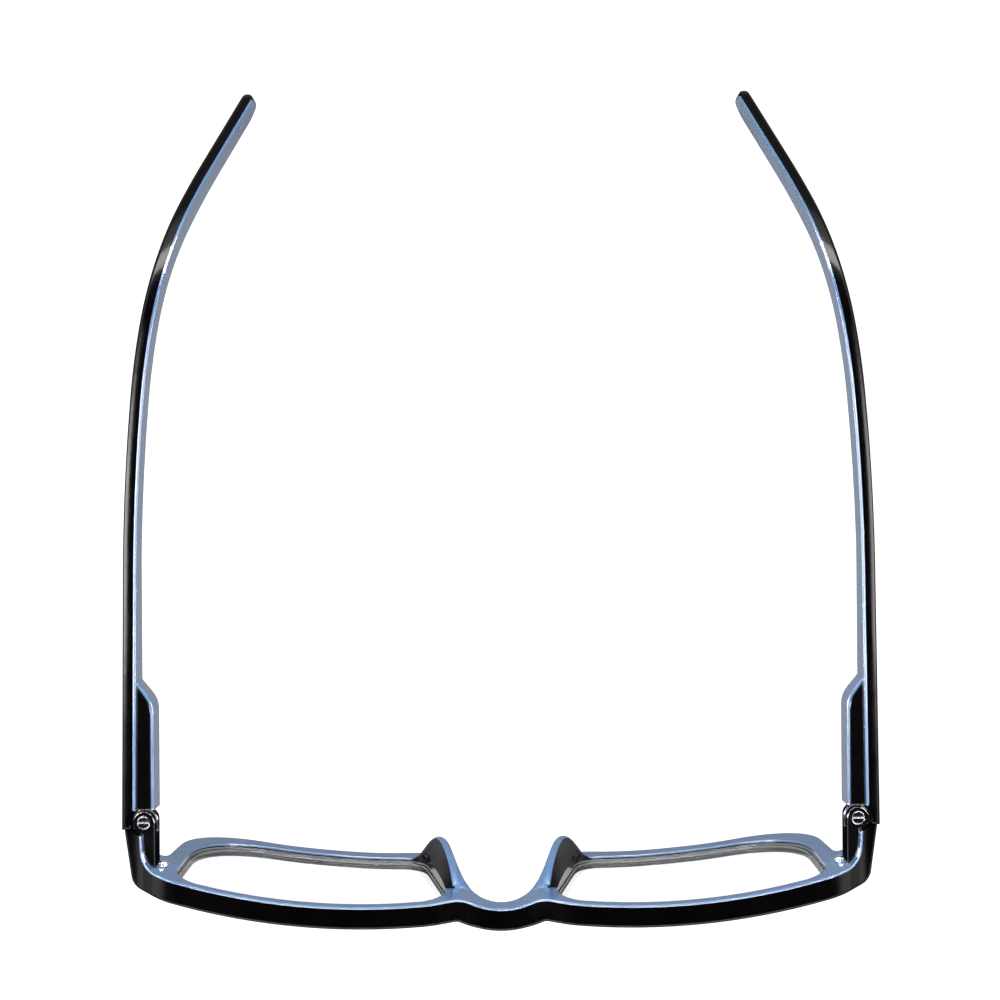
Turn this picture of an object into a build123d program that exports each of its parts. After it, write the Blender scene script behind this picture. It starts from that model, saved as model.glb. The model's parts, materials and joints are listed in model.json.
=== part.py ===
"""Rectangular full-rim eyeglasses with sprung hinges, standing on the lower rims and the ear pieces.

X runs to the wearer's right hand side of the picture, Y from the front towards the ear pieces, Z up.
The origin is on the table, in the middle of the glasses. Sizes are millimetres, angles are degrees.
The right-hand pieces are modelled and mirrored for the left.
"""
import os
from math import acos, atan2, cos, radians, sin, sqrt, tan

from build123d import *

os.makedirs("parts", exist_ok=True)

# Overall
overall_depth = 155.5        # front of the bridge to the ends of the ear pieces
arm_spread = 136.0           # outside width across the side arms at the hinges
front_lean = 7.5             # the top of the front leans forward by this angle

# Front seen from above
bridge_half = 7.9            # half the width of the bulge over the nose
bridge_bulge = 2.0
wrap_radius = 126.0          # curve of each rim and lens
end_inset = 0.5              # outside of an end piece inside that of its side arm
end_slant = 1.4              # a rim's front would meet the end piece's side this much further in
corner_setback = 8.15        # that corner behind the front of the bridge
corner_round = 3.0
notch_round = 2.0
end_setback = 18.15          # back of the end piece behind the front of the bridge
end_wall = 2.6
end_wall_swell = 0.4         # the end piece is this much thicker towards the front
inner_round = 4.0
black_depth = 3.7
blue_depth = 0.4

# Front seen from before it: outline
rim_top = 33.2
bridge_top = 31.6
bridge_flat_half = 4.5
brow_start_half = 12.5
brow_end_inset = 7.0         # these four lie inside the end piece's outer side
shoulder_inset = 2.5
rim_side_inset = 6.2
rim_low_inset = 9.1
end_piece_step = 0.2         # top of the end piece below the top of the side arm
low_flat_share = 0.465       # of the lower rim, from the nose: it rises towards the nose from there
nose_low_half = 12.4
nose_low_rise = 2.6
arch_half = 4.6
arch_height = 27.8
bridge_round = 12.0
brow_round = 14.0
temple_round = 8.0
shoulder_round = 4.0
end_tip_round = 0.6
armpit_round = 2.5
low_outer_round = 15.0
low_flat_round = 80.0
low_nose_round = 7.0
arch_round = 6.0
edge_round = 0.5             # rounding of the front's long edges

# Lens openings
upper_rim = 1.9
lower_rim = 2.6
nose_rim_top = 4.2           # width of the rim beside the nose, at its top and low down
nose_rim_low = 2.5
side_rim_top = 2.3           # width of the rim at the side
side_rim_low = 1.4
opening_nose_top_round = 4.8
opening_side_top_round = 4.4
opening_side_low_round = 14.5
opening_nose_low_round = 7.0

# Lenses
lens_setback = 1.15          # lens behind the front of the rim
lens_thickness = 2.4
tongue_setback = 0.7         # tongue behind the front of the lens
tongue_width = 1.2
tongue_height = 0.5

# Nose pads
pad_low = 4.6                # lower end of a pad above the table
pad_high = 25.6
pad_reach = 5.5              # crest behind the back of the front
pad_crest_half = 0.8
pad_crest_rise = 0.6         # of the rounded crest
pad_crest_share = 0.5       # place of the crest from the nose side to the lens side
pad_hollow = 0.35            # of the lens side
pad_root = 0.6               # depth of a pad's foot inside the rim
pad_nose_inset = 0.1
pad_lens_overrun = 1.0
pad_skin_side = 0.8          # thickness of the blue skin, sideways and at the crest
pad_skin_crest = 0.4
pad_flare = 3.0              # the lens side of a pad's foot runs out this much along the lower rim

# Side arms seen from above
arm_gap = 0.15               # between an end piece and its side arm
toe_in = 0.6
gentle_radius = 412.0
gentle_turn = 4.4
bend_radius = 146.0
bend_turn = 18.0
arm_black = 2.0
arm_blue = 0.5
tip_length = 17.0            # straight end of the ear piece, behind the bend seen from above
tip_outer_round = 0.8
tip_inner_round = 1.5
tip_cap = 1.0                # the black layer wraps the end of the ear piece by this much

# Side arms seen from the side
drop_length = 44.4           # corner of the bend behind the ear to the ear piece's end
drop_angle = 37.5
drop_radius = 38.4
under_drop_radius = 30.0
tip_height = 6.2
tip_round_share = 0.48       # radius of the ear piece's end corners, of its height
arm_hinge_height = 8.5
arm_mid_height = 5.8
narrowing_length = 50.0      # over which the arm narrows behind the hinge
narrowing_radius = 60.0

# Core wire in each side arm
core_width = 0.9
core_height = 1.8
core_start_setback = 4.0     # behind the block's front end
core_end_setback = 9.0       # before the end of the ear piece

# Hinges
pin_setback = 19.5           # hinge pin behind the front of the bridge
pin_inset = 3.25             # hinge pin inside the outside of the end piece
barrel_radius = 2.05
barrel_gap = 0.2
arm_width = 2.2
hinge_height = 5.4
eye_thickness = 1.9
eye_gap = 0.05
eye_radius = 1.85
slot_gap = 0.2
screw_diameter = 1.2
screw_fit = 0.03
screw_head_diameter = 2.0
screw_head_height = 0.6
screw_slot_width = 0.3
screw_slot_depth = 0.25
foot_thickness = 0.6
foot_reach = 2.4
root_width = 1.0             # of the hinge arm where it goes through the blue layer to its foot
root_reach = 1.5

# Small screw in the arm's foot
foot_screw_inset = 1.0       # from the hinge arm's inner side
foot_screw_diameter = 0.9
foot_screw_head_diameter = 1.9
foot_screw_head_height = 0.9
foot_screw_length = 2.6

# Block on the side arm, with the sprung slider in it
block_length = 24.0
block_slant = 4.6
block_round = 5.0            # rounding between its inner side and its slanted end
block_edge_round = 0.25
block_gap = 0.3              # between the barrel and the block
block_width = 3.8
block_top_step = 0.7         # top of the block below the top of the side arm
block_height = 6.3
block_wall = 0.5
floor_thickness = 0.6
end_plate = 0.8
rod_diameter = 1.0
rod_fit = 0.05
rod_length = 11.2
rod_inset = 0.3              # the rod lies this much inside the pin's line
neck_width = 1.5
slide_travel = 1.2
cavity_diameter = 2.1
spring_wire = 0.3
spring_mean_diameter = 1.6
spring_turns = 11
nut_length = 1.0
nut_diameter = 1.9
cavity_spare = 0.5

overrun = 2.0                # how far cutting shapes run past what they cut

# Places worked out from the sizes
end_half = arm_spread / 2 - end_inset
front_half = end_half - end_slant
brow_end_half = end_half - brow_end_inset
shoulder_half = end_half - shoulder_inset
rim_side_half = end_half - rim_side_inset
rim_low_half = end_half - rim_low_inset
low_flat_half = nose_low_half + (rim_low_half - nose_low_half) * low_flat_share
opening_nose_top = arch_half + nose_rim_top
opening_nose_low = nose_low_half + nose_rim_low
opening_side_top = rim_side_half - side_rim_top
opening_side_low = rim_low_half - side_rim_low
front_y = -overall_depth / 2
back_y = overall_depth / 2
end_y = front_y + end_setback
pin_y = front_y + pin_setback
lean_rise = tan(radians(front_lean))
bridge_radius = (bridge_half ** 2 + bridge_bulge ** 2) / (2 * bridge_bulge)
bridge_centre = (0, front_y + bridge_radius)

drop = radians(drop_angle)
tip_radius = tip_height * tip_round_share
corner_cut = tip_radius * (sin(drop) + cos(drop) - 1)
ear_y = back_y + corner_cut - drop_length * cos(drop)
arm_top = drop_length * sin(drop) + tip_height * cos(drop) - corner_cut
gentle_end = radians(toe_in + gentle_turn)
arm_turn = radians(toe_in + gentle_turn + bend_turn)
tip_cut = tip_outer_round * (sin(arm_turn) + cos(arm_turn) - 1)
straight_end_y = back_y + tip_cut - tip_length * cos(arm_turn)
straight_end_y -= bend_radius * (sin(arm_turn) - sin(gentle_end))
straight_end_y -= gentle_radius * (sin(gentle_end) - sin(radians(toe_in)))
straight_length = (straight_end_y - end_y) / cos(radians(toe_in))
arm_bottom = arm_top - arm_hinge_height
block_top = arm_top - block_top_step
block_bottom = block_top - block_height
block_start = pin_y + barrel_radius + block_gap
pin_half = end_half - pin_inset
block_inner = pin_half - barrel_radius
hinge_middle = (block_top + block_bottom) / 2
hinge_top = hinge_middle + hinge_height / 2
hinge_bottom = hinge_middle - hinge_height / 2


def wrap_centre():
    """Centre of the rim's curve: it passes the bridge's notch and the front's outer corner."""
    start = (bridge_half, front_y + bridge_bulge)
    stop = (front_half, front_y + corner_setback)
    run = (stop[0] - start[0], stop[1] - start[1])
    half_chord = sqrt(run[0] ** 2 + run[1] ** 2) / 2
    rise = sqrt(wrap_radius ** 2 - half_chord ** 2)
    middle = ((start[0] + stop[0]) / 2, (start[1] + stop[1]) / 2)
    return (middle[0] - rise * run[1] / (2 * half_chord), middle[1] + rise * run[0] / (2 * half_chord))


rim_centre = wrap_centre()


def wrap_y(x, depth):
    """Y of the rim's curve at x, at a depth behind the front surface."""
    return rim_centre[1] - sqrt((wrap_radius - depth) ** 2 - (x - rim_centre[0]) ** 2)


def notch_point(depth):
    """Where the bridge's curve meets the rim's, at a depth behind the front surface."""
    small = bridge_radius - depth
    large = wrap_radius - depth
    run = (rim_centre[0] - bridge_centre[0], rim_centre[1] - bridge_centre[1])
    span = sqrt(run[0] ** 2 + run[1] ** 2)
    turn = acos((small ** 2 + span ** 2 - large ** 2) / (2 * small * span))
    angle = atan2(run[1], run[0]) + turn
    first = (bridge_centre[0] + small * cos(angle), bridge_centre[1] + small * sin(angle))
    angle = atan2(run[1], run[0]) - turn
    second = (bridge_centre[0] + small * cos(angle), bridge_centre[1] + small * sin(angle))
    return first if first[1] < second[1] else second


def arc_between(centre, start, stop):
    """Shorter arc about a centre between two points on it."""
    radius = sqrt((start[0] - centre[0]) ** 2 + (start[1] - centre[1]) ** 2)
    middle = (start[0] + stop[0] - 2 * centre[0], start[1] + stop[1] - 2 * centre[1])
    size = sqrt(middle[0] ** 2 + middle[1] ** 2)
    through = (centre[0] + middle[0] * radius / size, centre[1] + middle[1] * radius / size)
    return ThreePointArc(start, through, stop)


def end_inner(depth):
    """Inner side of the end piece: its back and front points, at a depth behind the front surface."""
    back_x = end_half - end_wall - (depth - black_depth)
    front_x = back_x - end_wall_swell
    return (back_x, end_y), (front_x, wrap_y(front_x, depth))


# Plan sections are drawn at the height of the arm's top and follow the lean up and down.
plan_plane = Plane(origin=(0, arm_top * lean_rise, 0), z_dir=(0, 0, 1))
lean_direction = Vector(0, -lean_rise, 1)
lean_length = (rim_top + overrun) * sqrt(1 + lean_rise ** 2)


def front_section(near, far):
    """Closed half outline of the front between two depths, drawn for the side with x above zero."""
    near_notch = notch_point(near)
    far_notch = notch_point(far)
    far_back, far_corner = end_inner(far)
    near_bridge = (0, bridge_centre[1] - bridge_radius + near)
    far_bridge = (0, bridge_centre[1] - bridge_radius + far)
    if near == 0:
        near_back = (end_half, end_y)
        near_corner = (front_half, wrap_y(front_half, near))
    else:
        near_back, near_corner = end_inner(near)
    arc_between(bridge_centre, near_bridge, near_notch)
    arc_between(rim_centre, near_notch, near_corner)
    Line(near_corner, near_back)
    Line(near_back, far_back)
    Line(far_back, far_corner)
    arc_between(rim_centre, far_corner, far_notch)
    arc_between(bridge_centre, far_notch, far_bridge)
    Line(far_bridge, near_bridge)
    return near_notch, far_notch, near_corner, far_corner


def nearest(sketch, point):
    """The sketch's vertex next to a point."""
    return sketch.vertices().sort_by_distance(point)[0]


def front_outline():
    """Outline of the whole front seen from before it."""
    right = [
        (bridge_flat_half, bridge_top, bridge_round),
        (brow_start_half, rim_top, brow_round),
        (brow_end_half, rim_top, temple_round),
        (shoulder_half, arm_top - end_piece_step, shoulder_round),
        (end_half + overrun, arm_top - end_piece_step, end_tip_round),
        (end_half + overrun, arm_bottom, end_tip_round),
        (rim_side_half, arm_bottom, armpit_round),
        (rim_low_half, 0, low_outer_round),
        (low_flat_half, 0, low_flat_round),
        (nose_low_half, nose_low_rise, low_nose_round),
        (arch_half, arch_height, arch_round),
    ]
    left = [(-x, z, radius) for x, z, radius in reversed(right)]
    points = [(x, z) for x, z, radius in right + left]
    FilletPolyline(*points, radius=[corner[2] for corner in right + left], close=True)


def opening_outline():
    """Outline of the right lens opening seen from before it."""
    corners = [
        (opening_nose_top, rim_top - upper_rim, opening_nose_top_round),
        (opening_side_top, rim_top - upper_rim, opening_side_top_round),
        (opening_side_low, lower_rim, opening_side_low_round),
        (low_flat_half, lower_rim, low_flat_round - lower_rim),
        (opening_nose_low, lower_rim + nose_low_rise, opening_nose_low_round),
    ]
    points = [(x, z) for x, z, radius in corners]
    FilletPolyline(*points, radius=[corner[2] for corner in corners], close=True)


def rim_band(x_low, x_high, near, far):
    """Leaning band along the rim's curve between two places and two depths behind the front surface."""
    with BuildPart() as band:
        with BuildSketch(plan_plane):
            with BuildLine():
                arc_between(rim_centre, (x_low, wrap_y(x_low, near)), (x_high, wrap_y(x_high, near)))
                Line((x_high, wrap_y(x_high, near)), (x_high, wrap_y(x_high, far)))
                arc_between(rim_centre, (x_high, wrap_y(x_high, far)), (x_low, wrap_y(x_low, far)))
                Line((x_low, wrap_y(x_low, far)), (x_low, wrap_y(x_low, near)))
            make_face()
        extrude(amount=lean_length, dir=lean_direction)
    return band.part


def write_piece(part, name):
    """Labels a piece and writes it."""
    part.label = name
    export_step(part, "parts/" + name + ".step")


def write_pair(part, name):
    """Writes the right-hand piece and its mirror image."""
    write_piece(part, name + "_right")
    write_piece(mirror(part, about=Plane.YZ), name + "_left")


# Lens: a curved plate with a tongue round its edge
tongue_near = lens_setback + tongue_setback

with BuildPart() as lens:
    add(rim_band(bridge_half / 2, front_half, lens_setback, lens_setback + lens_thickness))
    with BuildSketch(Plane.XZ):
        with BuildLine():
            opening_outline()
        make_face()
    extrude(amount=overall_depth, both=True, mode=Mode.INTERSECT)

with BuildPart() as tongue:
    add(rim_band(bridge_half / 2, front_half, tongue_near, tongue_near + tongue_width))
    with BuildSketch(Plane.XZ):
        with BuildLine():
            opening_outline()
        make_face()
        offset(amount=tongue_height)
    extrude(amount=overall_depth, both=True, mode=Mode.INTERSECT)

with BuildPart() as whole_lens:
    add(lens.part)
    add(tongue.part)


# Nose pad: a fin behind the rim's nose side, thin at its crest
def pad_section(height_share, reach_share, flare_share):
    """Outline of a pad at a share of its height, with shares of the full reach and of the full flare."""
    z = pad_low + (pad_high - pad_low) * height_share
    nose_slope = (nose_low_half - arch_half) / arch_height
    lens_slope = (opening_nose_low - opening_nose_top) / (rim_top - upper_rim - lower_rim)
    nose_x = nose_low_half - nose_slope * z + pad_nose_inset
    if z < low_nose_round:
        nose_x += low_nose_round - sqrt(low_nose_round ** 2 - (low_nose_round - z) ** 2)
    lens_x = opening_nose_low - lens_slope * (z - lower_rim) + pad_lens_overrun
    lens_x += pad_flare * flare_share
    back_y_here = wrap_y(nose_x, black_depth) + lean_rise * (arm_top - z)
    root_y = back_y_here - pad_root
    crest_y = back_y_here + blue_depth + pad_reach * reach_share
    crest_x = nose_x + (lens_x - nose_x) * pad_crest_share
    hollow_x = (lens_x + crest_x + pad_crest_half) / 2 - pad_hollow
    shoulder_y = crest_y - pad_crest_rise
    with BuildSketch(Plane.XY.offset(z)) as section:
        with BuildLine():
            Line((nose_x, root_y), (lens_x, root_y))
            ThreePointArc(
                (lens_x, root_y),
                (hollow_x, (root_y + shoulder_y) / 2),
                (crest_x + pad_crest_half, shoulder_y),
            )
            ThreePointArc(
                (crest_x + pad_crest_half, shoulder_y),
                (crest_x, crest_y),
                (crest_x - pad_crest_half, shoulder_y),
            )
            Line((crest_x - pad_crest_half, shoulder_y), (nose_x, root_y))
        make_face()
    return section.sketch


pad_height_shares = (0.0, 0.16, 0.38, 0.62, 0.84, 1.0)
pad_reach_shares = (0.05, 0.6, 1.0, 0.97, 0.62, 0.04)
pad_flare_shares = (1.0, 0.5, 0.1, 0.0, 0.0, 0.0)

with BuildPart() as pad:
    for shares in zip(pad_height_shares, pad_reach_shares, pad_flare_shares):
        add(pad_section(*shares))
    loft()


# Small screw through the arm's foot into the front, its axis along the arms
foot_screw_half = block_inner - foot_screw_inset
foot_back_y = wrap_y(foot_screw_half, black_depth + blue_depth)
foot_back_y += lean_rise * (arm_top - hinge_middle)
foot_screw_plane = Plane(origin=(foot_screw_half, foot_back_y, hinge_middle), z_dir=(0, 1, 0))

with BuildPart() as foot_screw:
    with BuildSketch(foot_screw_plane):
        Circle(foot_screw_head_diameter / 2)
    extrude(amount=foot_screw_head_height)
    head_rim = foot_screw.edges().group_by(Axis.Y)[-1]
    fillet(head_rim, radius=foot_screw_head_height / 2)
    with BuildSketch(foot_screw_plane):
        Circle(foot_screw_diameter / 2)
    extrude(amount=-foot_screw_length)

# Foot of the hinge arm, let into the front under the blue layer, and its way through that layer
foot_low = block_inner - foot_reach
foot_high = block_inner + root_width
root_depth = black_depth + blue_depth + root_reach

with BuildPart() as foot:
    add(rim_band(foot_low, foot_high, black_depth - foot_thickness, black_depth))
    add(rim_band(block_inner, foot_high, black_depth - foot_thickness, root_depth))
    with BuildSketch(Plane.XY.offset(hinge_bottom)):
        with Locations((pin_half, pin_y)):
            Rectangle(arm_spread, arm_spread)
    extrude(amount=hinge_height, mode=Mode.INTERSECT)

# Front: black body and the blue layer behind it
with BuildPart() as opening:
    with BuildSketch(Plane.XZ):
        with BuildLine():
            opening_outline()
        make_face()
    extrude(amount=overall_depth, both=True)
    mirror(about=Plane.YZ)


def looks_out(face):
    """Whether a face of the front is seen from before it or, on an end piece, from its outer side."""
    middle = face.center()
    normal = face.normal_at(middle)
    on_end_side = abs(middle.X) > front_half and abs(normal.X) > abs(normal.Y) + abs(normal.Z)
    return on_end_side or normal.Y < -abs(normal.X) / 2 - abs(normal.Z)


def border_edges(faces, others):
    """Edges that the faces share with the other faces."""
    return [edge for face in faces for edge in face.edges() if any(edge in other.edges() for other in others)]


def front_band(near, far):
    """Solid band of the front between two depths, cut to its outline."""
    with BuildPart() as band:
        with BuildSketch(plan_plane) as plan:
            with BuildLine():
                near_notch, far_notch, near_corner, far_corner = front_section(near, far)
            make_face()
            fillet(nearest(plan, near_notch), radius=notch_round + near)
            fillet(nearest(plan, far_notch), radius=notch_round + far)
            if near == 0:
                fillet(nearest(plan, near_corner), radius=corner_round)
            else:
                fillet(nearest(plan, near_corner), radius=inner_round)
            fillet(nearest(plan, far_corner), radius=inner_round - (far - black_depth))
            mirror(about=Plane.YZ)
        extrude(amount=lean_length, dir=lean_direction)
        with BuildSketch(Plane.XZ):
            with BuildLine():
                front_outline()
            make_face()
        extrude(amount=overall_depth, both=True, mode=Mode.INTERSECT)
    return band.part


with BuildPart() as shifted_pad:
    with Locations((pad_skin_side, -pad_skin_crest, 0)):
        add(pad.part)

with BuildPart() as pad_core:
    add(pad.part)
    add(shifted_pad.part, mode=Mode.INTERSECT)
    mirror(about=Plane.YZ)

with BuildPart() as front_body:
    add(front_band(0, black_depth))
    add(opening.part, mode=Mode.SUBTRACT)
    seen_faces = [face for face in front_body.faces() if looks_out(face)]
    side_faces = [face for face in front_body.faces() if not looks_out(face)]
    rounded = [edge for edge in border_edges(seen_faces, side_faces) if edge.center().Y < end_y - end_wall / 2]
    fillet(rounded, radius=edge_round)

# Room for the hinge's barrel: in the back of the end piece, and in the front of the side arm as it slides
with BuildPart() as barrel_space:
    with BuildSketch():
        with Locations((pin_half, pin_y)):
            Circle(barrel_radius + barrel_gap)
    extrude(amount=arm_top + overrun)
    mirror(about=Plane.YZ)

with BuildPart() as sliding_space:
    with BuildSketch():
        with Locations((pin_half, pin_y), (pin_half, pin_y - slide_travel)):
            Circle(barrel_radius + barrel_gap)
    extrude(amount=arm_top + overrun)

with BuildPart() as front_frame:
    add(front_body.part)
    add(barrel_space.part, mode=Mode.SUBTRACT)
    add(pad_core.part)
    add(opening.part, mode=Mode.SUBTRACT)
    add(whole_lens.part, mode=Mode.SUBTRACT)
    add(mirror(whole_lens.part, about=Plane.YZ), mode=Mode.SUBTRACT)
    for fitting in (foot.part, foot_screw.part):
        add(fitting, mode=Mode.SUBTRACT)
        add(mirror(fitting, about=Plane.YZ), mode=Mode.SUBTRACT)

with BuildPart() as front_inner_layer:
    add(front_band(black_depth, black_depth + blue_depth))
    add(barrel_space.part, mode=Mode.SUBTRACT)
    add(pad.part)
    mirror(pad.part, about=Plane.YZ)
    add(opening.part, mode=Mode.SUBTRACT)
    add(front_frame.part, mode=Mode.SUBTRACT)
    for fitting in (foot.part, foot_screw.part):
        add(fitting, mode=Mode.SUBTRACT)
        add(mirror(fitting, about=Plane.YZ), mode=Mode.SUBTRACT)

write_piece(front_frame.part, "front_frame")
write_piece(front_inner_layer.part, "front_inner_layer")
write_pair(whole_lens.part, "lens")
write_pair(foot_screw.part, "arm_screw")


# Side arms
def arm_band(near, far, shortening=0):
    """Plan of a band of the side arm between two depths from its outer face; returns its two end corners."""
    heading = Vector(-sin(radians(toe_in)), cos(radians(toe_in)))
    across = Vector(-cos(radians(toe_in)), -sin(radians(toe_in)))
    origin = Vector(arm_spread / 2, end_y)
    outer_start = origin + across * near - heading * overrun
    inner_start = origin + across * far - heading * overrun
    far_end = []
    for start, depth in ((outer_start, near), (inner_start, far)):
        straight = Line(start, start + heading * (straight_length + overrun))
        gentle = JernArc(straight @ 1, straight % 1, gentle_radius - depth, gentle_turn)
        bend = JernArc(gentle @ 1, gentle % 1, bend_radius - depth, bend_turn)
        tail = Line(bend @ 1, (bend @ 1) + (bend % 1) * (tip_length - shortening))
        far_end.append(tail @ 1)
    Line(outer_start, inner_start)
    Line(far_end[0], far_end[1])
    return far_end


def side_outline():
    """Outline of the side arm seen from the side."""
    front = end_y + arm_gap
    slope = (cos(drop), -sin(drop))
    top_end = (ear_y + slope[0] * drop_length, arm_top + slope[1] * drop_length)
    low_end = (top_end[0] + slope[1] * tip_height, top_end[1] - slope[0] * tip_height)
    mid_bottom = arm_top - arm_mid_height
    under_ear = ear_y - tip_height / sin(drop) + arm_mid_height / tan(drop)
    corners = [
        (front, arm_top, end_tip_round),
        (ear_y, arm_top, drop_radius),
        (top_end[0], top_end[1], tip_radius),
        (low_end[0], low_end[1], tip_radius),
        (under_ear, mid_bottom, under_drop_radius),
        (front + narrowing_length, mid_bottom, narrowing_radius),
        (front + lean_rise * arm_hinge_height, arm_bottom, end_tip_round),
    ]
    FilletPolyline(*[(y, z) for y, z, radius in corners], radius=[c[2] for c in corners], close=True)


with BuildPart() as arm_profile:
    with BuildSketch(Plane.YZ):
        with BuildLine():
            side_outline()
        make_face()
    extrude(amount=arm_spread)


with BuildPart() as whole_arm:
    with BuildSketch() as arm_plan:
        with BuildLine():
            outer_corner, inner_corner = arm_band(0, arm_black + arm_blue)
        make_face()
        fillet(nearest(arm_plan, inner_corner), radius=tip_inner_round)
        fillet(nearest(arm_plan, outer_corner), radius=tip_outer_round)
    extrude(amount=arm_top + overrun)
    add(arm_profile.part, mode=Mode.INTERSECT)

with BuildPart() as blue_layer:
    with BuildSketch():
        with BuildLine():
            arm_band(arm_black, arm_black + arm_blue + overrun, tip_cap)
        make_face()
    extrude(amount=arm_top + overrun)
    add(whole_arm.part, mode=Mode.INTERSECT)


# Core wire: a flat strip that follows the arm's top line inside the black layer
def core_outline():
    """Outline of the core wire seen from the side, from above the block to inside the ear piece."""
    first = (arm_mid_height - core_height) / 2
    second = first + core_height
    start = block_start + core_start_setback
    length = drop_length - core_end_setback
    slope = (cos(drop), -sin(drop))
    upper_bend = (ear_y - first * tan(drop / 2), arm_top - first)
    lower_bend = (ear_y - second * tan(drop / 2), arm_top - second)
    upper_end = (ear_y + slope[0] * length - first * sin(drop), arm_top + slope[1] * length - first * cos(drop))
    lower_end = (upper_end[0] - core_height * sin(drop), upper_end[1] - core_height * cos(drop))
    corners = [
        (start, arm_top - first, end_tip_round),
        (upper_bend[0], upper_bend[1], drop_radius - first),
        (upper_end[0], upper_end[1], end_tip_round),
        (lower_end[0], lower_end[1], end_tip_round),
        (lower_bend[0], lower_bend[1], drop_radius - second),
        (start, arm_top - second, end_tip_round),
    ]
    FilletPolyline(*[(y, z) for y, z, radius in corners], radius=[c[2] for c in corners], close=True)


with BuildPart() as temple_core:
    with BuildSketch():
        with BuildLine():
            arm_band(arm_black - core_width, arm_black)
        make_face()
    extrude(amount=arm_top)
    with BuildSketch(Plane.YZ):
        with BuildLine():
            core_outline()
        make_face()
    extrude(amount=arm_spread, mode=Mode.INTERSECT)


# Black layer, scooped out round the hinge's barrel and grooved for the core
with BuildPart() as temple_outer:
    add(whole_arm.part)
    add(blue_layer.part, mode=Mode.SUBTRACT)
    add(sliding_space.part, mode=Mode.SUBTRACT)
    add(temple_core.part, mode=Mode.SUBTRACT)


# Block on the inner side of the arm: a blue pocket with a black housing in it
def block_plan(inset):
    """Plan of the block, drawn in by an inset on its inner and slanted sides."""
    inner = block_inner + inset
    outer = arm_spread / 2 - arm_black
    stop = block_start + block_length
    shoulder = (inner, stop - block_slant - inset)
    with BuildSketch() as plan:
        with BuildLine():
            Polyline((outer, block_start), (inner, block_start), shoulder, (outer, stop - inset), close=True)
        make_face()
        fillet(nearest(plan, shoulder), radius=block_round - inset)
    return plan.sketch


with BuildPart() as block:
    with BuildSketch(Plane.XY.offset(block_bottom)):
        add(block_plan(0))
    extrude(amount=block_height)
    fillet(block.edges().group_by(Axis.Z)[-1], radius=block_edge_round)

with BuildPart() as arm_inner_side:
    with BuildSketch():
        with BuildLine():
            arm_band(arm_black, arm_black + block_width + overrun)
        make_face()
    extrude(amount=arm_top)

with BuildPart() as arm_inner_clear:
    with BuildSketch():
        with BuildLine():
            arm_band(arm_black + arm_blue, arm_black + block_width + overrun)
        make_face()
    extrude(amount=arm_top)

with BuildPart() as block_end_cut:
    with BuildSketch():
        with Locations((pin_half, block_start)):
            Rectangle(4 * block_width, 2 * block_length, align=(Align.CENTER, Align.MAX))
    extrude(amount=arm_top + overrun)

with BuildPart() as housing_body:
    with BuildSketch(Plane.XY.offset(block_bottom + floor_thickness)):
        add(block_plan(block_wall))
    extrude(amount=block_height - floor_thickness)
    add(arm_inner_clear.part, mode=Mode.INTERSECT)

with BuildPart() as temple_inner:
    add(blue_layer.part)
    add(block.part)
    add(arm_inner_side.part, mode=Mode.INTERSECT)
    add(block_end_cut.part, mode=Mode.SUBTRACT)
    add(housing_body.part, mode=Mode.SUBTRACT)

# Sprung slider: eye, neck and rod, with the nut and spring on the rod
rod_start = block_start - block_gap / 2
rod_half = pin_half - rod_inset
rod_plane = Plane(origin=(rod_half, rod_start, hinge_middle), z_dir=(0, 1, 0))
cavity_start = block_start + end_plate
nut_start = rod_start + rod_length - nut_length

with BuildPart() as hinge_slider:
    with BuildSketch(Plane.XY.offset(hinge_middle - eye_thickness / 2)):
        with Locations((pin_half, pin_y)):
            Circle(eye_radius)
        with Locations((rod_half, pin_y)):
            Rectangle(neck_width, rod_start - pin_y, align=(Align.CENTER, Align.MIN))
        with Locations((pin_half, pin_y)):
            Circle(screw_diameter / 2 + screw_fit, mode=Mode.SUBTRACT)
    extrude(amount=eye_thickness)
    with BuildSketch(rod_plane):
        Circle(rod_diameter / 2)
    extrude(amount=rod_length)

with BuildPart() as slider_nut:
    with BuildSketch(Plane(origin=(rod_half, nut_start, hinge_middle), z_dir=(0, 1, 0))):
        Circle(nut_diameter / 2)
        Circle(rod_diameter / 2, mode=Mode.SUBTRACT)
    extrude(amount=nut_length)

spring_length = nut_start - cavity_start - spring_wire - slide_travel
spring_base = (rod_half, cavity_start + spring_wire / 2, hinge_middle)
with BuildPart() as hinge_spring:
    with BuildLine() as coil:
        Helix(
            spring_length / spring_turns,
            spring_length,
            spring_mean_diameter / 2,
            center=spring_base,
            direction=(0, 1, 0),
        )
    with BuildSketch(Plane(origin=coil.line @ 0, z_dir=coil.line % 0)):
        Circle(spring_wire / 2)
    sweep()

with BuildPart() as hinge_housing:
    add(housing_body.part)
    with BuildSketch(Plane(origin=(rod_half, block_start, hinge_middle), z_dir=(0, 1, 0))):
        Circle(rod_diameter / 2 + rod_fit)
    extrude(amount=end_plate + spring_wire, mode=Mode.SUBTRACT)
    with BuildSketch(Plane(origin=(rod_half, cavity_start, hinge_middle), z_dir=(0, 1, 0))):
        Circle(cavity_diameter / 2)
    extrude(amount=nut_start + nut_length + cavity_spare - cavity_start, mode=Mode.SUBTRACT)

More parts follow.
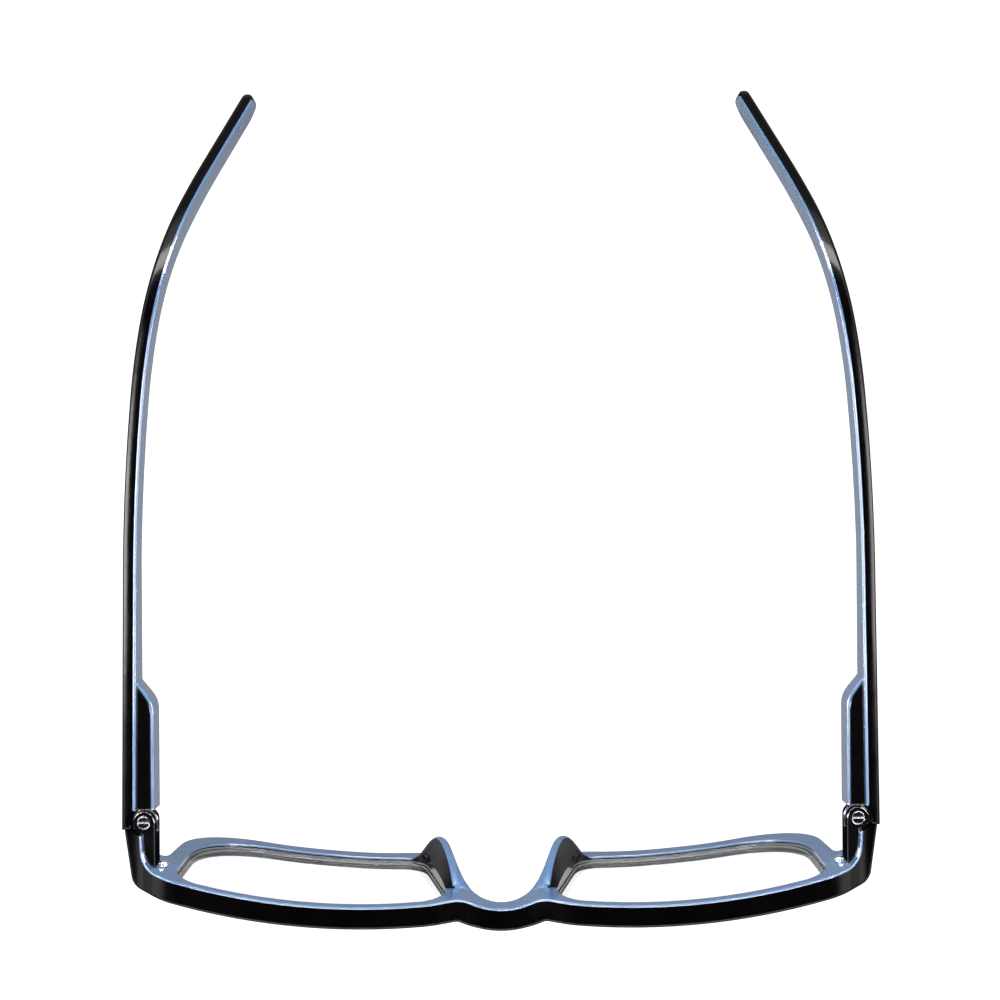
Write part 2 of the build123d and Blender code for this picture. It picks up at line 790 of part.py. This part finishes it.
# Upright hinge screw
with BuildPart() as hinge_screw:
    with BuildSketch(Plane.XY.offset(hinge_bottom)):
        with Locations((pin_half, pin_y)):
            Circle(screw_diameter / 2)
    extrude(amount=hinge_height)
    with BuildSketch(Plane.XY.offset(hinge_top - screw_head_height)):
        with Locations((pin_half, pin_y)):
            Circle(screw_head_diameter / 2)
    extrude(amount=screw_head_height)
    with BuildSketch(Plane.XY.offset(hinge_top - screw_slot_depth)):
        with Locations((pin_half, pin_y)):
            Rectangle(screw_head_diameter + overrun, screw_slot_width)
    extrude(amount=screw_slot_depth + overrun, mode=Mode.SUBTRACT)

# Hinge arm: ears round the slider's eye, a leaf along the end piece and the foot in the front
leaf_length = pin_y - wrap_y(block_inner, black_depth)

with BuildPart() as hinge_arm:
    with BuildSketch(Plane.XY.offset(hinge_bottom)):
        with Locations((pin_half, pin_y)):
            Circle(barrel_radius)
        with Locations((block_inner, pin_y)):
            Rectangle(arm_width, leaf_length, align=(Align.MIN, Align.MAX))
    extrude(amount=hinge_height)
    add(foot.part)
    with BuildSketch(Plane.XY.offset(hinge_middle - eye_thickness / 2 - eye_gap)):
        with Locations((pin_half, pin_y)):
            Circle(eye_radius + slot_gap)
        with Locations((pin_half, pin_y - eye_radius - slot_gap)):
            Rectangle(2 * arm_spread, overall_depth, align=(Align.CENTER, Align.MIN))
    extrude(amount=eye_thickness + 2 * eye_gap, mode=Mode.SUBTRACT)
    for neighbour in (front_frame, front_inner_layer, hinge_screw, foot_screw):
        add(neighbour.part, mode=Mode.SUBTRACT)

pairs = (
    ("temple_outer", temple_outer),
    ("temple_inner", temple_inner),
    ("temple_core", temple_core),
    ("hinge_housing", hinge_housing),
    ("hinge_slider", hinge_slider),
    ("slider_nut", slider_nut),
    ("hinge_spring", hinge_spring),
    ("hinge_screw", hinge_screw),
    ("hinge_arm", hinge_arm),
)
for name, piece in pairs:
    write_pair(piece.part, name)
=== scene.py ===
# %% [markdown]
# Rectangular eyeglasses on a white table, looked at from straight above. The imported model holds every
# piece at its real size, so this file adds what the eye sees: rounded edges, the two layers of polished
# plastic, clear lenses and bright screws. The frame is loaded first, because every piece is measured
# from it.

# %% Load the frame
import json
import math

import bmesh
import bpy
import numpy as np
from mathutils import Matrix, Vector


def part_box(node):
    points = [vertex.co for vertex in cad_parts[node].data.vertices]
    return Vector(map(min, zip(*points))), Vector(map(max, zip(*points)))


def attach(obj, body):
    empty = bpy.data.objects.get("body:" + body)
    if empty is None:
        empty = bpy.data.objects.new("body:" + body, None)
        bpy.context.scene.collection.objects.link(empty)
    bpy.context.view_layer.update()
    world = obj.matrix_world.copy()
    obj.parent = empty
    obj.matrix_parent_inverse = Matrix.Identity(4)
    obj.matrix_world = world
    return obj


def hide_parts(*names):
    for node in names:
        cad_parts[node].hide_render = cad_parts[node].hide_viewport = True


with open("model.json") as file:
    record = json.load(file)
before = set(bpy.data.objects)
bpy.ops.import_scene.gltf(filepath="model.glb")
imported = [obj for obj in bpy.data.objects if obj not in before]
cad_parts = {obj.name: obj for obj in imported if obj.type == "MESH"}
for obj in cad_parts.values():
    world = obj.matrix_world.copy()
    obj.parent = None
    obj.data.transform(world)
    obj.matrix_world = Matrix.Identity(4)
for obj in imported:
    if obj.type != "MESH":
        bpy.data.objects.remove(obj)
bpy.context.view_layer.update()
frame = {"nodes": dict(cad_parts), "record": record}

MM = 0.001
WHITE = (1.0, 1.0, 1.0, 1.0)
nodes = frame["nodes"]

# %% [markdown]
# Materials are node graphs. Writing each link by hand is slow to read, so a small class stands for one
# output socket and lets Python's signs add the Math nodes. Colours never go through a Math node, which
# would turn them grey: they are mixed.

# %% A board for shader maths
edge_samples = 6


def add_node(tree, kind, settings, inputs):
    """Adds a node to a tree, sets it, and links or fills its inputs."""
    node = tree.nodes.new(kind)
    for key, value in settings.items():
        setattr(node, key, value)
    for key, value in inputs.items():
        if isinstance(value, bpy.types.NodeSocket):
            tree.links.new(value, node.inputs[key])
        else:
            node.inputs[key].default_value = value
    return node


class Value:
    """A number that changes over a surface."""

    def __init__(self, board, socket):
        self.board = board
        self.socket = socket

    def maths(self, operation, other):
        return self.board.add("ShaderNodeMath", {"operation": operation}, {0: self, 1: other})

    def __add__(self, other):
        return self.maths("ADD", other)

    def __mul__(self, other):
        return self.maths("MULTIPLY", other)


class Board:
    """One material and its nodes."""

    def __init__(self, name):
        self.material = bpy.data.materials.new(name)
        self.material.use_nodes = True
        self.tree = self.material.node_tree
        self.tree.nodes.clear()

    def add(self, kind, settings, inputs, output=0):
        """Adds a node whose inputs may be values, and returns one of its outputs as a value."""
        sockets = {}
        for key, value in inputs.items():
            sockets[key] = value.socket if isinstance(value, Value) else value
        return Value(self, add_node(self.tree, kind, settings, sockets).outputs[output])

    def noise(self, scale, detail=2.0):
        """Cloudy noise from 0 to 1 with this many lumps to the metre, fixed to the piece."""
        place = self.add("ShaderNodeTexCoord", {}, {}, "Object")
        inputs = {"Vector": place, "Scale": scale, "Detail": detail}
        return self.add("ShaderNodeTexNoise", {}, inputs, "Fac")

    def ramp(self, value, low, high, first, second):
        """Moves a value from one range to another, held at its ends."""
        inputs = {"Value": value, "From Min": low, "From Max": high, "To Min": first, "To Max": second}
        return self.add("ShaderNodeMapRange", {"clamp": True}, inputs)

    def spread(self, noise, first, second):
        """Spreads a noise over a range; nearly all of it lies between 0.3 and 0.7."""
        return self.ramp(noise, 0.3, 0.7, first, second)

    def mix(self, factor, first, second):
        """Mixes two colours."""
        return self.add("ShaderNodeMix", {"data_type": "RGBA"}, {0: factor, 6: first, 7: second}, 2)

    def bump(self, height, strength, depth, edge=0.0):
        """A normal from a height, over edges that catch the light as if rounded by this radius."""
        inputs = {"Height": height, "Strength": strength, "Distance": depth}
        if edge:
            inputs["Normal"] = self.add("ShaderNodeBevel", {"samples": edge_samples}, {"Radius": edge})
        return self.add("ShaderNodeBump", {}, inputs)

    def end(self, shader):
        """Puts a shader on the surface and returns the material."""
        add_node(self.tree, "ShaderNodeOutputMaterial", {}, {"Surface": shader.socket})
        return self.material

    def finish(self, **inputs):
        """Ends the graph in a Principled shader; underscores stand for spaces."""
        named = {key.replace("_", " "): value for key, value in inputs.items()}
        return self.end(self.add("ShaderNodeBsdfPrincipled", {}, named))


# %% [markdown]
# The black is an opaque, polished plastic. Its colour is almost nothing, so what shows is the room in
# its polish: a low roughness with faint cloudy changes, and a very fine ripple that breaks up the
# reflections the way a tumbled frame does.

# %% Black plastic
plastic_index = 1.49
plastic_relief = 0.12 * MM
grain_scale = 2600.0
grain_relief = 0.15


def polish(board, clouds, grain):
    """The roughness of tumbled plastic: low, and never quite even."""
    return board.spread(clouds, 0.09, 0.15) + grain * 0.03


def black_plastic():
    board = Board("black_plastic")
    clouds = board.noise(160.0)
    grain = board.noise(grain_scale)
    ripple = board.noise(420.0)
    colour = board.mix(clouds, (0.0003, 0.0001, 0.0002, 1.0), (0.0009, 0.0004, 0.0007, 1.0))
    normal = board.bump(ripple + grain * grain_relief, 0.10, plastic_relief)
    return board.finish(Base_Color=colour, Roughness=polish(board, clouds, grain), Normal=normal,
                        IOR=plastic_index, Specular_IOR_Level=0.3)


# %% [markdown]
# The inner layer is a milky pale blue. Real acetate is never one flat colour: it has soft clouds and
# finer streaks. Two sizes of noise mix three close blues. Its edges are too finely rounded to be worth
# faces, so the shading rounds them.

# %% Pale blue plastic
blue_edge_radius = 0.35 * MM
streak_relief = 0.5


def blue_plastic():
    board = Board("blue_plastic")
    clouds = board.noise(90.0)
    streaks = board.noise(320.0, 4.0)
    grain = board.noise(grain_scale)
    colour = board.mix(clouds, (0.058, 0.132, 0.268, 1.0), (0.084, 0.158, 0.290, 1.0))
    colour = board.mix(board.ramp(streaks, 0.45, 0.75, 0.0, 0.35), colour, (0.118, 0.172, 0.304, 1.0))
    height = streaks * streak_relief + grain * grain_relief
    normal = board.bump(height, 0.08, plastic_relief, blue_edge_radius)
    coat = board.ramp(clouds, 0.2, 0.8, 0.7, 1.0)
    return board.finish(Base_Color=colour, Roughness=polish(board, clouds, grain), Normal=normal,
                        IOR=plastic_index, Specular_IOR_Level=0.8, Coat_Weight=coat)


# %% [markdown]
# The lenses are clear plastic: full transmission and an index of refraction of 1.5. What shows of them
# from above is the rim seen through their edge, so the solid has to refract. A trace of smear in the
# roughness keeps the reflection from being perfect. The edge of a lens is ground, not polished, so
# faces that carry the mark "ground" are grey and rough.

# %% Clear lens
lens_index = 1.5
ground_grey = (0.34, 0.31, 0.35, 1.0)


def clear_lens():
    board = Board("clear_lens")
    smear = board.ramp(board.noise(70.0, 3.0), 0.55, 0.9, 0.0, 0.03)
    clear = board.mix(board.noise(25.0), (0.985, 0.990, 0.990, 1.0), (0.995, 0.995, 1.0, 1.0))
    ground = board.add("ShaderNodeAttribute", {"attribute_name": "ground"}, {}, "Fac")
    grinding = board.spread(board.noise(1500.0), 0.35, 0.55)
    tint = board.mix(ground, clear, ground_grey)
    return board.finish(Base_Color=tint, Roughness=smear + ground * grinding, IOR=lens_index,
                        Transmission_Weight=1.0)


# %% [markdown]
# Four metals share one graph. The hinge is steel under black lacquer, the small screw at the front is
# bright nickel, the slider, nut, spring and wire inside are plain steel that nobody polished, and the
# hinge screw has a gunmetal finish. Lacquer is darker at a slant than bare metal, which the slant colour
# sets.

# %% Metals
def metal(name, lumps, scratches, colours, roughness, relief, edge=0.0, wear=0.0, slant=WHITE):
    """Metal with clouds of two colours and two roughnesses, and scratches of a strength and a depth."""
    board = Board(name)
    clouds = board.noise(lumps)
    scratch = board.noise(scratches)
    rough = board.spread(clouds, *roughness) + scratch * wear
    normal = board.bump(scratch, *relief, edge)
    return board.finish(Base_Color=board.mix(clouds, *colours), Roughness=rough, Metallic=1.0,
                        Normal=normal, Specular_Tint=slant)


finishes = {
    "black_frame": black_plastic(),
    "blue_layer": blue_plastic(),
    "clear_lens": clear_lens(),
    "hinge_black": metal(
        "black_metal", 300.0, 5200.0, ((0.110, 0.108, 0.120, 1.0), (0.150, 0.148, 0.162, 1.0)),
        (0.045, 0.07), (0.03, 0.02 * MM), edge=0.4 * MM, wear=0.01, slant=(0.10, 0.10, 0.11, 1.0)),
    "silver_screw": metal(
        "bright_screw", 900.0, 5200.0, ((0.80, 0.80, 0.83, 1.0), (0.92, 0.92, 0.94, 1.0)),
        (0.10, 0.22), (0.06, 0.04 * MM)),
    "steel": metal(
        "plain_steel", 600.0, 4200.0, ((0.42, 0.42, 0.44, 1.0), (0.60, 0.60, 0.61, 1.0)),
        (0.28, 0.42), (0.10, 0.05 * MM)),
}
gunmetal = metal(
    "gunmetal", 900.0, 5200.0, ((0.025, 0.025, 0.030, 1.0), (0.045, 0.045, 0.052, 1.0)),
    (0.10, 0.16), (0.03, 0.02 * MM), edge=0.12 * MM)
slot_of = {part["node"]: part["material_slot"] for part in frame["record"]["subparts"]}
for name, piece in nodes.items():
    finish = gunmetal if name.startswith("hinge_screw") else finishes[slot_of[name]]
    piece.data.materials.clear()
    piece.data.materials.append(finish)
print("finishes:", len(finishes) + 1)

# %% [markdown]
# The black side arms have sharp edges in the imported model. The real ones are tumbled until every long
# edge is round, and that rounding is what catches the light. The shape follows a rule: at each place
# along the arm the section is a rectangle with round corners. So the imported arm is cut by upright
# planes, the middle and the half size of each cut are kept as numbers on the points of a small mesh,
# and Geometry Nodes bend a plain grid round those numbers.

# %% Measure the side arms
def cut_boxes(piece, places):
    """Lowest and highest X and Z of a piece where planes of these Y cut it."""
    mesh = piece.data
    points = np.empty(len(mesh.vertices) * 3)
    mesh.vertices.foreach_get("co", points)
    points = points.reshape(-1, 3)
    ends = np.empty(len(mesh.edges) * 2, dtype=int)
    mesh.edges.foreach_get("vertices", ends)
    first, second = points[ends[0::2]], points[ends[1::2]]
    boxes = []
    for y in places:
        crossing = (first[:, 1] - y) * (second[:, 1] - y) < 0
        low, high = first[crossing], second[crossing]
        share = ((y - low[:, 1]) / (high[:, 1] - low[:, 1]))[:, None]
        cut = low + (high - low) * share
        boxes.append((cut[:, 0].min(), cut[:, 0].max(), cut[:, 2].min(), cut[:, 2].max()))
    return np.array(boxes)


def arm_places(low, high):
    """Places along an arm: a millimetre apart, and closer and closer together towards its two ends."""
    reach = 4.0 * MM
    nearest = 0.002
    near = low + reach * np.linspace(nearest, 1.0, 24) ** 1.5
    middle = np.arange(low + reach + MM, high - reach, MM)
    far = high - reach * np.linspace(1.0, nearest, 30) ** 1.6
    return np.concatenate([near, middle, far])


# %% [markdown]
# The tree takes the measured points as its input geometry. A grid gives one row for each measured place
# and one column for each point round the section. A column's angle picks the corner, the corner's
# centre lies one edge radius inside the box, and the point goes out from there. The first and last
# rows have no size, so merging by distance closes the ends.

# %% Geometry Nodes for a bar with round edges
merge_distance = 0.0005 * MM


class Recipe:
    """A Geometry Nodes tree with named inputs."""

    def __init__(self, name):
        self.tree = bpy.data.node_groups.new(name, "GeometryNodeTree")
        for direction in ("INPUT", "OUTPUT"):
            self.tree.interface.new_socket("Geometry", in_out=direction, socket_type="NodeSocketGeometry")
        self.source = self.tree.nodes.new("NodeGroupInput")
        self.names = {}

    def ask(self, name, kind):
        """Adds a named input and returns its socket."""
        item = self.tree.interface.new_socket(name, in_out="INPUT", socket_type=kind)
        self.names[name] = item.identifier
        return self.source.outputs[name]

    def add(self, kind, settings, inputs):
        """Adds a node and returns its first output."""
        return add_node(self.tree, kind, settings, inputs).outputs[0]

    def maths(self, operation, first, second=0.0):
        return self.add("ShaderNodeMath", {"operation": operation}, {0: first, 1: second})


def bar_recipe():
    """Bends a grid round measured places; the side with the lower X can have its own edge radius."""
    recipe = Recipe("bar_with_round_edges")
    places = recipe.source.outputs["Geometry"]
    rows = recipe.ask("Rows", "NodeSocketInt")
    columns = recipe.ask("Columns", "NodeSocketInt")
    low_radius = recipe.ask("Edge radius on the low X side", "NodeSocketFloat")
    high_radius = recipe.ask("Edge radius on the high X side", "NodeSocketFloat")
    material = recipe.ask("Material", "NodeSocketMaterial")
    whole = recipe.maths("ADD", columns, 1.0)
    grid = recipe.add("GeometryNodeMeshGrid", {}, {"Vertices X": rows, "Vertices Y": whole})
    index = recipe.add("GeometryNodeInputIndex", {}, {})
    row = recipe.maths("FLOOR", recipe.maths("DIVIDE", index, whole))
    column = recipe.maths("FLOORED_MODULO", index, whole)
    turn = recipe.maths("DIVIDE", recipe.maths("ADD", column, 0.5), columns)
    angle = recipe.maths("MULTIPLY", turn, 2.0 * math.pi)
    across, upward = recipe.maths("COSINE", angle), recipe.maths("SINE", angle)

    def measured(name):
        """A number kept on the row's measured point."""
        field = recipe.add("GeometryNodeInputNamedAttribute", {"data_type": "FLOAT"}, {"Name": name})
        return recipe.add("GeometryNodeSampleIndex", {"data_type": "FLOAT", "domain": "POINT"},
                          {"Geometry": places, "Value": field, "Index": row})

    half_x, half_z = measured("half_x"), measured("half_z")
    on_high = recipe.maths("GREATER_THAN", across, 0.0)
    difference = recipe.maths("SUBTRACT", high_radius, low_radius)
    radius = recipe.maths("ADD", low_radius, recipe.maths("MULTIPLY", difference, on_high))
    radius = recipe.maths("MINIMUM", radius, recipe.maths("MINIMUM", half_x, half_z))

    def reach(half, direction):
        """Distance of a point from the section's middle: to the corner's centre, and a radius further."""
        inside = recipe.maths("SUBTRACT", half, radius)
        corner = recipe.maths("MULTIPLY", recipe.maths("SIGN", direction), inside)
        return recipe.maths("ADD", corner, recipe.maths("MULTIPLY", radius, direction))

    x = recipe.maths("ADD", measured("middle_x"), reach(half_x, across))
    z = recipe.maths("ADD", measured("middle_z"), reach(half_z, upward))
    place = recipe.add("ShaderNodeCombineXYZ", {}, {0: x, 1: measured("place_y"), 2: z})
    bar = recipe.add("GeometryNodeSetPosition", {}, {"Geometry": grid, "Position": place})
    bar = recipe.add("GeometryNodeMergeByDistance", {}, {"Geometry": bar, "Distance": merge_distance})
    bar = recipe.add("GeometryNodeRealizeInstances", {}, {"Geometry": bar})
    bar = recipe.add("GeometryNodeSetMaterial", {}, {"Geometry": bar, "Material": material})
    add_node(recipe.tree, "NodeGroupOutput", {}, {"Geometry": bar})
    return recipe


bar = bar_recipe()
print("inputs of the bar recipe:", list(bar.names))

# %% Helpers for finished pieces
def link_mesh(name, mesh):
    """A new object at the origin for a mesh."""
    piece = bpy.data.objects.new(name, mesh)
    bpy.context.scene.collection.objects.link(piece)
    return piece


def point_outwards(mesh):
    """Merges doubled points and turns every face of a closed mesh outwards."""
    work = bmesh.new()
    work.from_mesh(mesh)
    bmesh.ops.remove_doubles(work, verts=work.verts, dist=merge_distance)
    bmesh.ops.recalc_face_normals(work, faces=work.faces)
    work.to_mesh(mesh)
    work.free()


def smooth(mesh, angle):
    """Shades a mesh smoothly except over edges sharper than an angle in degrees."""
    mesh.polygons.foreach_set("use_smooth", [True] * len(mesh.polygons))
    mesh.set_sharp_from_angle(angle=math.radians(angle))


def applied(holder):
    """The plain mesh that a holder's modifiers make; the holder goes."""
    graph = bpy.context.evaluated_depsgraph_get()
    mesh = bpy.data.meshes.new_from_object(holder.evaluated_get(graph))
    bpy.data.objects.remove(holder)
    return mesh


# %% Black side arms
outer_edge_radius = 0.75 * MM
seam_edge_radius = 0.02 * MM
section_points = 40
arm_sharp_angle = 40.0


def black_arm(side):
    """The black layer of one side arm, with round edges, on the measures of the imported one."""
    node = "temple_outer_" + side
    low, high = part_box(node)
    places = arm_places(low[1], high[1])
    boxes = cut_boxes(nodes[node], places)
    places = np.concatenate([[low[1]], places, [high[1]]])
    boxes = np.concatenate([boxes[:1], boxes, boxes[-1:]])
    half_x = (boxes[:, 1] - boxes[:, 0]) / 2
    half_z = (boxes[:, 3] - boxes[:, 2]) / 2
    for half in (half_x, half_z):
        half[0] = 0.0
        half[-1] = 0.0
    mesh = bpy.data.meshes.new(node + "_places")
    mesh.from_pydata([(0.0, y, 0.0) for y in places], [], [])
    measures = {"place_y": places, "half_x": half_x, "half_z": half_z,
                "middle_x": (boxes[:, 0] + boxes[:, 1]) / 2, "middle_z": (boxes[:, 2] + boxes[:, 3]) / 2}
    for name, values in measures.items():
        mesh.attributes.new(name, "FLOAT", "POINT").data.foreach_set("value", values)
    holder = link_mesh(node + "_holder", mesh)
    modifier = holder.modifiers.new("bar", "NODES")
    modifier.node_group = bar.tree
    low_radius, high_radius = outer_edge_radius, seam_edge_radius
    if side == "right":
        low_radius, high_radius = seam_edge_radius, outer_edge_radius
    modifier[bar.names["Rows"]] = len(places)
    modifier[bar.names["Columns"]] = section_points
    modifier[bar.names["Edge radius on the low X side"]] = low_radius
    modifier[bar.names["Edge radius on the high X side"]] = high_radius
    modifier[bar.names["Material"]] = finishes["black_frame"]
    mesh = applied(holder)
    point_outwards(mesh)
    smooth(mesh, arm_sharp_angle)
    piece = link_mesh("black_arm_" + side, mesh)
    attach(piece, "temple_" + side)
    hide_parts(node)
    print(piece.name, "faces:", len(mesh.polygons), "places:", len(places))


for side in ("left", "right"):
    black_arm(side)

# %% [markdown]
# A lens touches its groove everywhere, and two surfaces in one place make glass flicker. Each lens is
# shown by a copy that is drawn in by two hundredths of a millimetre, which leaves a hair of air round
# it, as there is round a real one. The camera looks along the panes, so faces that don't face forward
# or back belong to the edge, and they get the mark that the lens material reads.

# %% Clear lenses
lens_air = 0.02 * MM
pane_facing = 0.7
lens_sharp_angle = 25.0


def glass_lens(side):
    """A copy of one packed lens, drawn in from its groove by the air round it."""
    node = "lens_" + side
    mesh = nodes[node].data.copy()
    mesh.name = "clear_lens_" + side
    if "custom_normal" in mesh.attributes:
        mesh.attributes.remove(mesh.attributes["custom_normal"])
    point_outwards(mesh)
    points = np.empty(len(mesh.vertices) * 3)
    normals = np.empty(len(mesh.vertices) * 3)
    mesh.vertices.foreach_get("co", points)
    mesh.vertices.foreach_get("normal", normals)
    mesh.vertices.foreach_set("co", points - normals * lens_air)
    mesh.update()
    facing = np.array([abs(face.normal.y) for face in mesh.polygons])
    marks = np.where(facing < pane_facing, 1.0, 0.0)
    mesh.attributes.new("ground", "FLOAT", "FACE").data.foreach_set("value", marks)
    smooth(mesh, lens_sharp_angle)
    piece = link_mesh("clear_lens_" + side, mesh)
    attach(piece, "front")
    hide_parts(node)
    print(piece.name, "faces:", len(mesh.polygons))


for side in ("left", "right"):
    glass_lens(side)

# %% [markdown]
# The camera looks straight down, as the photograph does, from a little under 400 mm. Its lens gives the
# photograph's frame, and it is turned by a fraction of a degree because the glasses lie that much askew.

# %% Camera
camera_place = (0.26 * MM, -0.7 * MM, 395.5 * MM)
camera_turn = math.radians(-0.42)
camera_data = bpy.data.cameras.new("camera")
camera_data.lens = 73.33
camera_data.sensor_width = 36.0
camera_data.clip_start = 0.01
camera = bpy.data.objects.new("camera", camera_data)
camera.location = camera_place
camera.rotation_euler = (0.0, 0.0, camera_turn)
bpy.context.scene.collection.objects.link(camera)
bpy.context.scene.camera = camera

# %% [markdown]
# The table is a plain white sheet. Seen directly it has to be as white as paper, yet it may throw little
# light up at the black. So its shader is mostly a white glow for the camera and for what the lenses let
# through, a faint one for mirrors, and a dim grey for all other light.

# %% Table
table_size = 3.0
table_drop = 0.02 * MM
paper_grey = (0.12, 0.12, 0.125, 1.0)
paper_glow = 1.35
glow_share = 0.95
mirrored_share = 0.06


def table_material():
    board = Board("table_white")
    by_camera = board.add("ShaderNodeLightPath", {}, {}, "Is Camera Ray")
    in_mirrors = board.add("ShaderNodeLightPath", {}, {}, "Is Glossy Ray") * mirrored_share
    through_glass = board.add("ShaderNodeLightPath", {}, {}, "Is Transmission Ray")
    seen = by_camera.maths("MAXIMUM", in_mirrors).maths("MAXIMUM", through_glass)
    diffuse = board.add("ShaderNodeBsdfDiffuse", {}, {"Color": paper_grey})
    glow = board.add("ShaderNodeEmission", {}, {"Color": WHITE, "Strength": paper_glow})
    return board.end(board.add("ShaderNodeMixShader", {}, {0: seen * glow_share, 1: diffuse, 2: glow}))


bpy.ops.mesh.primitive_plane_add(size=table_size, location=(0.0, 0.0, -table_drop))
table = bpy.context.object
table.name = "table"
table.data.materials.append(table_material())

# %% [markdown]
# Polished black looks black from above because it mirrors the dark behind the camera. The room is
# brightest part way up its walls, and long narrow lamps stand left, right, behind and in front: every
# rounded edge mirrors one of them as a thin bright line. The stops give the room's light by height, from
# low to straight above.

# %% Room light
room_strength = 1.6
stops = ((0.0, 0.10), (0.25, 0.25), (0.42, 1.0), (0.68, 1.0), (0.86, 0.04), (1.0, 0.01))
world = bpy.data.worlds.new("room")
world.use_nodes = True
bpy.context.scene.world = world
tree = world.node_tree
tree.nodes.clear()
direction = add_node(tree, "ShaderNodeTexCoord", {}, {})
parts = add_node(tree, "ShaderNodeSeparateXYZ", {}, {0: direction.outputs["Generated"]})
ramp = add_node(tree, "ShaderNodeValToRGB", {}, {0: parts.outputs["Z"]})
for place, light in stops[1:-1]:
    ramp.color_ramp.elements.new(place)
for element, (place, light) in zip(ramp.color_ramp.elements, stops):
    element.position = place
    element.color = (light, light, light, 1.0)
room_light = {"Color": ramp.outputs[0], "Strength": room_strength}
background = add_node(tree, "ShaderNodeBackground", {}, room_light)
add_node(tree, "ShaderNodeOutputWorld", {}, {"Surface": background.outputs[0]})


def area_lamp(name, place, size, radiance):
    """A flat lamp of a width and a length that looks at the middle of the glasses."""
    data = bpy.data.lights.new(name, "AREA")
    data.shape = "RECTANGLE"
    data.size, data.size_y = size
    data.energy = radiance * math.pi * size[0] * size[1]
    lamp = bpy.data.objects.new(name, data)
    lamp.location = place
    lamp.rotation_euler = (-Vector(place)).to_track_quat("-Z", "Y").to_euler()
    bpy.context.scene.collection.objects.link(lamp)
    return lamp


area_lamp("lamp_left", (-0.9, 0.0, 0.75), (0.24, 1.4), 14.0)
area_lamp("lamp_right", (0.9, 0.0, 0.75), (0.24, 1.4), 9.0)
area_lamp("lamp_back", (0.0, 0.8, 0.8), (1.4, 0.24), 12.0)
area_lamp("lamp_front", (0.0, -1.0, 0.6), (1.2, 0.3), 3.5)

# %% [markdown]
# On the pale layer and on the metal the edges shine far more than on the black. Four lamps that only
# those pieces see, and only in their polish, draw these lines and leave the rest of the light alone.
# The housings don't see them, because their flat tops would turn grey.

# %% Edge lamps
shining_slots = ("blue_layer", "hinge_black", "silver_screw")
shining = bpy.data.collections.new("shining")
for name, piece in nodes.items():
    if slot_of[name] in shining_slots and "housing" not in name:
        shining.objects.link(piece)
edge_lamp_radiance = 50.0
edge_lamps = (((-0.9, 0.0, 0.75), (0.3, 1.6)), ((0.9, 0.0, 0.75), (0.3, 1.6)),
              ((0.0, 0.8, 0.8), (1.6, 0.3)), ((0.0, -0.9, 0.75), (1.6, 0.3)))
for place, size in edge_lamps:
    lamp = area_lamp("lamp_edge", place, size, edge_lamp_radiance)
    lamp.visible_diffuse = False
    lamp.light_linking.receiver_collection = shining

# %% Finish
bpy.context.scene.view_settings.view_transform = "Standard"
